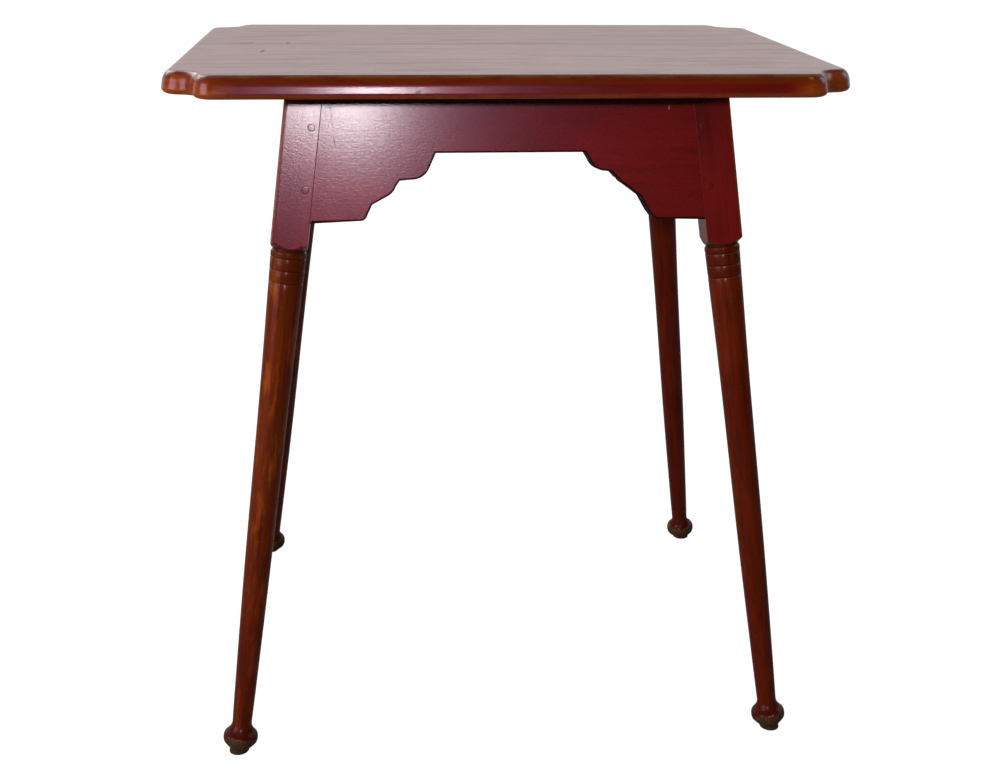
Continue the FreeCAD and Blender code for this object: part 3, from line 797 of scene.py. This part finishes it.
def top_stain():
    """Worn red top, its flat face painted a paler red as light from above: streaks along the
    boards, rubbed rounding and lobes, small old dents.
    """
    n = Nodes("top_stain")
    grain, local = n.field("grain"), n.field("local")
    across, depth, height = n.parts(local)
    masks = grain_masks(n, grain)
    rub = n.noise(grain, (150, 150, 34), detail=5, roughness=0.7)
    patchy = n.span(rub, 0.32, 0.6, 0.35, 1.0)

    # the flat face gets paler reds than the edges: painted light from above
    face = n.span(height, TOP_Z - 0.0006, TOP_Z - 0.0001)
    base = n.mix(face, stain(n, masks, OXBLOOD, WARM, DEEP, 0.3),
                 stain(n, masks, ROSE, ROSE_WARM, CRIMSON, 0.7))

    # rubbed corners, upper and lower rounds
    out_x = n.minus(TOP_X, n.size(across))
    out_y = n.minus(TOP_Y, n.size(depth))
    corner = n.times(n.span(n.plus(out_x, out_y), *CORNER_RUB),
                     n.span(height, TOP_Z, TOP_Z - UPPER_ROUND * 0.4))
    edge = n.span(n.math("MINIMUM", out_x, out_y), UPPER_ROUND * 1.3, UPPER_ROUND * 0.9)
    upper = n.span(height, TOP_Z - UPPER_ROUND * 0.9, TOP_Z - UPPER_ROUND * 0.6)
    brow = n.span(height, TOP_Z - UPPER_ROUND * 0.3, TOP_Z - UPPER_ROUND * 0.15)
    lower = n.span(height, UNDER_Z + LOWER_ROUND * 1.2, UNDER_Z + LOWER_ROUND * 0.5)
    base = n.mix(n.times(corner, patchy), base, HONEY)
    base = n.mix(n.times(upper, edge, patchy, 0.85), base, BISTRE)
    base = n.mix(n.times(brow, edge, n.span(rub, 0.38, 0.62), 0.8), base, OCHRE)
    base = n.mix(n.times(lower, patchy, 0.8), base, AMBER)

    # marks, seam and bare underside
    dents = n.most(*[n.stroke(local, *mark) for mark in TOP_DENTS],
                   *[n.times(n.stroke(local, *mark), 0.6) for mark in EDGE_DENTS])
    chip = n.stroke(local, *EDGE_CHIP)
    seam = n.times(n.line(depth, SEAM_Y, SEAM_STAIN), n.span(rub, 0.3, 0.6, 0.3, 1.0))
    under = n.span(height, UNDER_Z + 0.0006, UNDER_Z + 0.0001)
    base = n.mix(n.times(dents, 0.7), base, GRIME_AND_SHADE)
    base = n.mix(chip, base, TAN)
    base = n.mix(n.times(seam, 0.5), base, DEEP)
    base = n.mix(under, base, raw_wood(n, masks))

    # dull streaks and specks, duller towards the back
    streaks = n.span(n.noise(grain, (70, 70, 7), detail=5, roughness=0.65), 0.46, 0.7)
    specks = n.span(n.noise(grain, (260, 260, 60), detail=2), 0.7, 0.77)
    dull = n.most(n.times(streaks, 0.085), n.times(specks, 0.3), n.times(seam, 0.2),
                  n.times(dents, 0.45), n.times(under, 0.4))
    dull = n.plus(dull, n.span(depth, -TOP_Y, TOP_Y, 0.0, 0.04))
    n.set(Base_Color=base, Roughness=n.plus(n.spread(rub, 0.25, 0.29), dull))

    fibres = masks[2]
    relief = n.plus(n.times(fibres, 0.25), n.times(wrinkles(n, local), 0.6))
    relief = n.plus(relief, n.times(n.noise(grain, (80, 80, 20), detail=4), 3.0))
    relief = n.minus(relief, n.times(n.most(dents, chip), 1.5))
    n.varnish(n.bump(relief, TOP_GRAIN), SHEEN, GLOSS)
    return n.material


def apron_stain():
    """Red stain under a finely wrinkled varnish; bare inside."""
    n = Nodes("apron_stain")
    grain, local = n.field("grain"), n.field("local")
    depth, height = n.parts(local)[1:]
    masks = grain_masks(n, grain)
    rub = n.noise(grain, (180, 180, 60), detail=5, roughness=0.7)
    flecks = n.span(n.noise(grain, (700, 700, 500), detail=1), 0.73, 0.8, 0.0, 0.6)
    ding = n.stroke(local, *APRON_DING)
    scratch = n.times(n.stroke(local, *APRON_SCRATCH), n.span(rub, 0.4, 0.6, 0.1, 0.55))
    inside = n.span(depth, APRON_THICK - 0.0004, APRON_THICK - 0.0001)

    base = stain(n, masks, OXBLOOD, CRIMSON, DEEP, 0.3)
    base = n.mix(flecks, base, AMBER)
    base = n.mix(ding, base, TAN)
    base = n.mix(scratch, base, GRIME_AND_SHADE)
    # painted shade just below the top
    base = painted_shade_under_top(n, base, height, APRON_DEPTH)
    base = n.mix(inside, base, raw_wood(n, masks))

    skin = wrinkles(n, local)
    n.set(Base_Color=base, Roughness=n.plus(n.spread(skin, 0.26, 0.3), n.times(inside, 0.4)))
    fibres = masks[2]
    relief = n.minus(n.plus(n.times(fibres, 0.15), skin), n.most(ding, scratch))
    relief = n.minus(relief, n.times(height, CUP / WRINKLE))
    n.varnish(n.bump(relief, WRINKLE), SHEEN, GLOSS)
    return n.material


def dark_lower_edge():
    """Dark sawn edge of an apron, and a dark line beside it along the lower edge of the front
    face.
    """
    n = Nodes("apron_edge")
    saw = n.noise(n.field("grain"), (300, 300, 900), detail=4, roughness=0.65)
    base = n.mix(n.span(saw, 0.35, 0.7), SAWN_DARK, SAWN)
    n.set(Base_Color=base, Roughness=n.spread(saw, 0.45, 0.65), Normal=n.bump(saw, SAW_DEPTH),
          Specular_IOR_Level=0.05)
    return n.material


def leg_stain():
    """Square block of a leg: the aprons' finish, with rubbed outer arris and dark shoulder."""
    n = Nodes("leg_stain")
    grain, local = n.field("grain"), n.field("local")
    across, along, height = n.parts(local)
    masks = grain_masks(n, grain)
    rub = n.noise(grain, (150, 150, 30), detail=5, roughness=0.7)
    patchy = n.span(rub, 0.32, 0.6, 0.4, 1.0)
    left = n.span(n.parts(grain)[0], 0.1, -0.1, 0.2, 0.6)
    scuffs = n.span(n.noise(grain, (500, 500, 14), detail=4), 0.66, 0.74, 0.0, 0.4)
    outer = n.span(n.plus(across, along), BLOCK - 0.003, BLOCK - 0.0014)
    flat = n.span(n.most(n.size(across), n.size(along)), HALF_BLOCK - 0.0006, HALF_BLOCK - 0.0002)

    base = stain(n, masks, OXBLOOD, CRIMSON, DEEP, 0.3)
    base = n.mix(scuffs, base, ROSE_WARM)
    base = n.mix(n.times(outer, patchy, left), base, TAN)
    base = n.mix(n.span(flat, 0.0, 1.0, 0.85, 0.0), base, OLIVE)

    # grime round the pegs on both outer faces
    middle, half = sum(PEG_LEVELS) / 2, (PEG_LEVELS[0] - PEG_LEVELS[1]) / 2
    level = n.minus(n.size(n.minus(height, middle)), half)
    for inward, out in ((across, along), (along, across)):
        spot = n.node("CombineXYZ", X=inward, Y=level).outputs[0]
        away = n.vector("DISTANCE", spot, (-PEG_ALONG, 0.0, 0.0))
        face = n.span(out, HALF_BLOCK - 0.001, HALF_BLOCK - 0.0003)
        ring = n.line(away, PEG_RADIUS + 0.0002, 0.0006)
        base = n.mix(n.times(ring, face, left, 0.6), base, GRIME_AND_SHADE)
    # painted shade just below the top
    base = painted_shade_under_top(n, base, height, LEG_RUN)

    n.set(Base_Color=base, Roughness=n.spread(rub, 0.26, 0.31))
    fibres = masks[2]
    relief = n.plus(n.times(fibres, 0.15), wrinkles(n, local))
    relief = n.minus(relief, n.times(height, CUP / WRINKLE))
    n.varnish(n.bump(relief, WRINKLE), SHEEN, GLOSS)
    return n.material


def leg_turning():
    """Turned part of a leg: browner, rubbed along the grain, with dark rings and a worn foot."""
    n = Nodes("leg_turning")
    grain, local = n.field("grain"), n.field("local")
    along, height = n.parts(local)[1:]
    masks = grain_masks(n, grain)
    rub = n.noise(grain, (150, 150, 30), detail=5, roughness=0.7)
    patchy = n.span(rub, 0.32, 0.6, 0.4, 1.0)

    # shaft, paler on the left legs and darker at the rings and below
    streaks = n.span(n.noise(grain, (110, 110, 20), detail=5, roughness=0.62), 0.5, 0.66, 0.0, 0.8)
    shade = n.span(n.noise(grain, (170, 170, 6), detail=4, roughness=0.65), 0.5, 0.7, 0.0, 0.45)
    at_rings = n.span(height, RINGS_END - 0.004, RINGS_END + 0.002, 0.0, 0.35)
    left = n.span(n.parts(grain)[0], 0.1, -0.1, 0.15, 1.0)
    upper = n.span(height, 0.1, 0.35, 0.3, 1.0)
    base = stain(n, masks, RUSSET, COPPER, UMBER, 0.55)
    base = n.mix(n.span(height, 0.45, 0.2, 0.0, 0.2), base, UMBER)
    base = n.mix(n.times(left, upper, 0.3), base, AMBER)
    base = n.mix(n.times(streaks, patchy, left, upper), base, HONEY)
    base = n.mix(n.most(shade, at_rings), base, UMBER)

    # ring lines and neck, darkened; the neck's dark line is painted shade under the block's
    # shoulder
    rings = n.most(*[n.line(height, level, RING_WIDTH * 0.5) for level in RING_LEVELS])
    lips_wear_and_highlight = n.most(*[n.line(height, level - RING_WIDTH, RING_WIDTH * 0.5) for level in RING_LEVELS])
    neck = n.line(height, NECK - NECK_WIDTH * 0.5, NECK_WIDTH)
    nicks = n.span(n.noise(grain, (800, 800, 200), detail=2), 0.72, 0.78, 0.0, 0.5)
    # lighter lips below the ring lines: rubbed wear and a painted highlight on their rounded edges
    base = n.mix(n.times(lips_wear_and_highlight, patchy, 0.45), base, OCHRE)
    base = n.mix(n.times(n.most(rings, neck), 0.45), base, GRIME_AND_SHADE)
    base = n.mix(nicks, base, TAN)

    # foot, worn below an uneven rim
    base = n.mix(n.span(height, ANKLE_HEIGHT, ANKLE_HEIGHT * 0.7, 0.0, 0.5), base, UMBER)
    rise = n.most(n.span(along, 0.002, 0.015, 0.0, RIM_OUTER_RISE),
                  n.span(n.parts(grain)[1], -0.1, 0.1, 0.0, RIM_BACK_RISE))
    rim = n.minus(n.minus(height, RIM_HEIGHT), rise)
    rim = n.plus(rim, n.spread(rub, -0.0012, 0.0012))
    foot = n.span(rim, 0.0004, -0.0008)
    wear = n.noise(local, (230, 230, 300), detail=4, roughness=0.65)
    chips = n.span(n.noise(local, (600, 600, 800), detail=2), 0.58, 0.68, 0.0, 0.4)
    worn = n.mix(chips, n.mix(n.span(wear, 0.47, 0.56), MOSS, WORN), TAN)
    lip = n.times(n.line(rim, 0.0, 0.0008), n.span(wear, 0.48, 0.6, 0.0, 0.6))
    base = n.mix(n.times(foot, 0.92), base, worn)
    base = n.mix(lip, base, TAN)

    n.set(Base_Color=base, Roughness=n.plus(n.spread(rub, 0.26, 0.32), n.times(foot, 0.3)))
    fibres = masks[2]
    relief = n.plus(n.times(fibres, 0.3), n.times(rub, n.span(foot, 0.0, 1.0, 0.5, 6.0)))
    n.varnish(n.bump(relief, WRINKLE), TURNED_SHEEN, TURNED_GLOSS)
    return n.material


def peg_wood():
    """End grain of a peg under the same finish as the block round it."""
    n = Nodes("peg_wood")
    grain, local = n.field("grain"), n.field("local")
    pores = n.noise(local, (1500, 1500, 1500), detail=3)
    away = n.vector("DISTANCE", local, (0.0, 0.0, 0.0))
    base = n.mix(n.span(pores, 0.4, 0.65), OXBLOOD, WARM)
    base = n.mix(n.span(away, PEG_RADIUS * 0.8, PEG_RADIUS, 0.0, 0.3), base, DEEP)
    n.set(Base_Color=base, Roughness=n.spread(pores, 0.26, 0.31))
    relief = n.minus(n.times(pores, 0.5), n.times(n.parts(grain)[2], CUP / WRINKLE))
    n.varnish(n.bump(relief, WRINKLE), SHEEN, GLOSS)
    return n.material


def bare_wood():
    """Unstained wood of the hidden tongue."""
    n = Nodes("bare_wood")
    place = n.node("TexCoord").outputs["Object"]
    grain = n.noise(place, (14, 420, 420), detail=5, roughness=0.6)
    base = n.mix(n.span(grain, 0.35, 0.7), BARE_DARK, BARE)
    n.set(Base_Color=base, Roughness=n.spread(grain, 0.6, 0.75),
          Normal=n.bump(grain, BARE_DEPTH))
    return n.material


def old_iron():
    """Dull iron of the screws, with some rust."""
    n = Nodes("screw_iron")
    place = n.node("TexCoord").outputs["Object"]
    rust = n.noise(place, (600, 600, 600), detail=5, roughness=0.7)
    base = n.mix(n.span(rust, 0.45, 0.65), IRON, RUST)
    n.set(Base_Color=base, Roughness=n.spread(rust, 0.4, 0.75), Normal=n.bump(rust, RUST_DEPTH),
          Metallic=0.8)
    return n.material


def pale_sweep():
    """Pale matt sweep, lifted to white where it is looked at, so that it keeps the shadow.

    The varnish sees it brightest at the back and in a patch at the left.
    """
    n = Nodes("pale_sweep")
    path = n.node("LightPath").outputs
    place = n.node("TexCoord").outputs["Object"]
    left = n.span(n.vector("DISTANCE", place, LEFT_GLOW), *LEFT_SPAN)
    back = n.span(n.parts(place)[1], *BACK_SPAN)
    sheen = n.times(path["Is Glossy Ray"], n.most(left, back))
    seen = n.most(path["Is Camera Ray"], sheen, path["Is Transmission Ray"])
    away = n.vector("DISTANCE", place, (0.0, 0.0, 0.0))
    n.set(Base_Color=SWEEP_GREY, Roughness=SWEEP_MATT, Specular_IOR_Level=0.0,
          Emission_Color=WHITE, Emission_Strength=n.times(seen, n.span(away, *SEEN_SPAN)))
    return n.material


def studio_sweep(material):
    """Round floor whose rim rises all round, low in front and high at the back."""
    rises = SWEEP_BACK_RISE - SWEEP_FRONT_RISE
    loops = []
    for step in range(SWEEP_STEPS + 1):
        bend = math.pi / 2 * step / SWEEP_STEPS
        radius, lift = SWEEP_FLAT + SWEEP_REACH * math.sin(bend), 1 - math.cos(bend)
        loop = []
        for side in range(SWEEP_SIDES):
            turn = 2 * math.pi * side / SWEEP_SIDES
            rise = SWEEP_FRONT_RISE + rises * (0.5 + 0.5 * math.sin(turn)) ** 2
            loop.append(Vector((radius * math.cos(turn), radius * math.sin(turn), rise * lift)))
        loops.append(loop)
    builder = bmesh.new()
    bridge(builder, loops)
    builder.faces.ensure_lookup_table()
    bmesh.ops.delete(builder, geom=[builder.faces[-1]], context="FACES_ONLY")
    mesh = bpy.data.meshes.new("sweep")
    builder.to_mesh(mesh)
    builder.free()
    mesh.polygons.foreach_set("use_smooth", [True] * len(mesh.polygons))
    mesh.materials.append(material)
    piece = bpy.data.objects.new("sweep", mesh)
    bpy.context.scene.collection.objects.link(piece)


def area_light(name, place, target, size, power):
    lamp = bpy.data.lights.new(name, "AREA")
    lamp.shape = "SQUARE"
    lamp.size = size
    lamp.energy = power
    piece = bpy.data.objects.new(name, lamp)
    bpy.context.scene.collection.objects.link(piece)
    piece.location = place
    aim = Vector(target) - Vector(place)
    piece.rotation_euler = aim.to_track_quat("-Z", "Y").to_euler()


def studio_world():
    """Dim room in front of the table, brighter behind and above it."""
    world = bpy.data.worlds.new("studio")
    bpy.context.scene.world = world
    world.use_nodes = True
    tree = world.node_tree
    place = tree.nodes.new("ShaderNodeTexCoord")
    way = tree.nodes.new("ShaderNodeVectorMath")
    way.operation = "DOT_PRODUCT"
    way.inputs[1].default_value = WORLD_WAY
    ramp = tree.nodes.new("ShaderNodeMapRange")
    ramp.interpolation_type = "SMOOTHSTEP"
    ramp.inputs["From Min"].default_value, ramp.inputs["From Max"].default_value = WORLD_FACING
    ramp.inputs["To Min"].default_value, ramp.inputs["To Max"].default_value = WORLD_STRENGTH
    background = tree.nodes["Background"]
    background.inputs["Color"].default_value = WHITE
    tree.links.new(place.outputs["Generated"], way.inputs[0])
    tree.links.new(way.outputs["Value"], ramp.inputs["Value"])
    tree.links.new(ramp.outputs[0], background.inputs["Strength"])


def add_camera():
    level_ahead = Vector((math.sin(CAMERA_YAW), math.cos(CAMERA_YAW), 0))
    ahead = level_ahead * math.cos(CAMERA_PITCH) - UP * math.sin(CAMERA_PITCH)
    level = Vector((math.cos(CAMERA_YAW), -math.sin(CAMERA_YAW), 0))
    above = level.cross(ahead)
    right = level * math.cos(CAMERA_ROLL) + above * math.sin(CAMERA_ROLL)
    up = above * math.cos(CAMERA_ROLL) - level * math.sin(CAMERA_ROLL)
    turn = Matrix((right, up, -ahead)).transposed().to_4x4()
    data = bpy.data.cameras.new("camera")
    data.sensor_fit = "HORIZONTAL"
    data.sensor_width = SENSOR
    data.lens = SENSOR * FOCAL_PIXELS / IMAGE_WIDTH
    piece = bpy.data.objects.new("camera", data)
    piece.matrix_world = Matrix.Translation(CAMERA_PLACE) @ turn
    bpy.context.scene.collection.objects.link(piece)
    bpy.context.scene.camera = piece


# Table
top_wood = top_stain()
top_board("front_board", "top_board_front", FRONT, top_wood)
top_board("back_board", "top_board_back", BACK, top_wood)

leg_woods = [leg_stain(), leg_turning()]
for across, side_x in (("left", LEFT), ("right", RIGHT)):
    for depth, side_y in (("front", FRONT), ("back", BACK)):
        corner = depth + "_" + across
        leg("turned_leg_" + corner, "leg_" + corner, side_x, side_y, leg_woods)

# side, quarter turns from the front, along the long side
apron_woods = [apron_stain(), dark_lower_edge()]
for side, quarters, long in (("front", 0, True), ("right", 1, False),
                             ("back", 2, True), ("left", -1, False)):
    right_edge = RIGHT_EDGE if side == "front" else EDGE
    turn = quarters * math.pi / 2
    apron("shaped_apron_" + side, "apron_" + side, turn, long, right_edge, apron_woods)

peg_end = peg_wood()
for side, joints in (("front", ((LEFT, FRONT, True), (RIGHT, FRONT, True))),
                     ("back", ((LEFT, BACK, True), (RIGHT, BACK, True))),
                     ("left", ((LEFT, FRONT, False), (LEFT, BACK, False))),
                     ("right", ((RIGHT, FRONT, False), (RIGHT, BACK, False)))):
    pegs("domed_pegs_" + side, "pegs_" + side, joints, peg_end)

for node, finish in (("top_tongue", bare_wood()), ("top_screws", old_iron())):
    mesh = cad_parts[node].data
    mesh.materials.clear()
    mesh.materials.append(finish)

# Studio
studio_sweep(pale_sweep())
for name, lamp in LAMPS.items():
    area_light(name, *lamp)
studio_world()
bpy.context.scene.view_settings.view_transform = "Standard"
add_camera()
